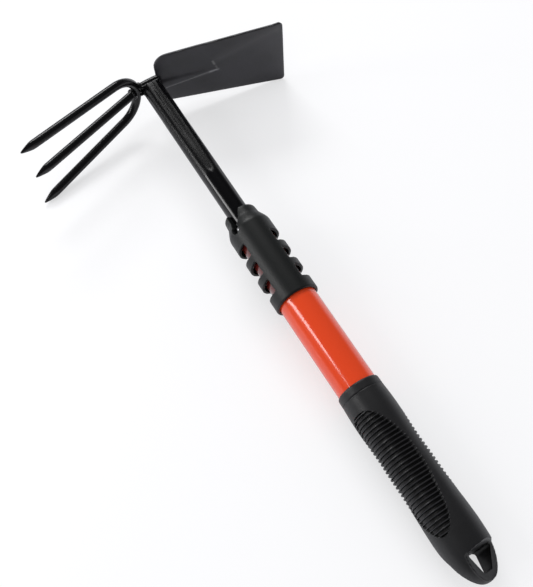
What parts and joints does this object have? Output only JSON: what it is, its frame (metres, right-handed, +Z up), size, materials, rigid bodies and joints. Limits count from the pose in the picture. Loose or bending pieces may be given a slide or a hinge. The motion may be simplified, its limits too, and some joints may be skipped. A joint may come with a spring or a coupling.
{
  "type": "double hoe",
  "caption": "Short-handled garden hand tool: a stamped hoe blade opposite three pointed tines on a steel shank, with a gilled collar, a painted tube and a ribbed soft grip with a hang hole.",
  "frame": {"origin": "bottom centre of the tool's box as it lies on the ground, on its lower tine, the blade's lower corner and the heel of the grip", "axes": "+X from the grip towards the head, +Y to the tine side, -Y to the blade side, +Z up from the ground"},
  "size_m": [0.3948, 0.197, 0.0631],
  "materials": {
    "grip_rubber": "fine satin, ribbed",
    "orange_paint": "gloss paint",
    "collar_plastic": "matte",
    "bush_plastic": "matte",
    "black_paint": "gloss paint",
    "blade_paint": "satin powder coat",
    "rivet_steel": "polished"
  },
  "bodies": {
    "root": {"grip": "grip_rubber", "handle_tube": "orange_paint", "reducer_bush": "bush_plastic", "collar": "collar_plastic", "collar_rivet": "rivet_steel", "shank_tube": "black_paint", "neck_rod": "black_paint", "head_weld": "black_paint", "hoe_blade": "blade_paint", "outer_tines": "black_paint", "centre_tine": "black_paint"}
  },
  "joints": []
}
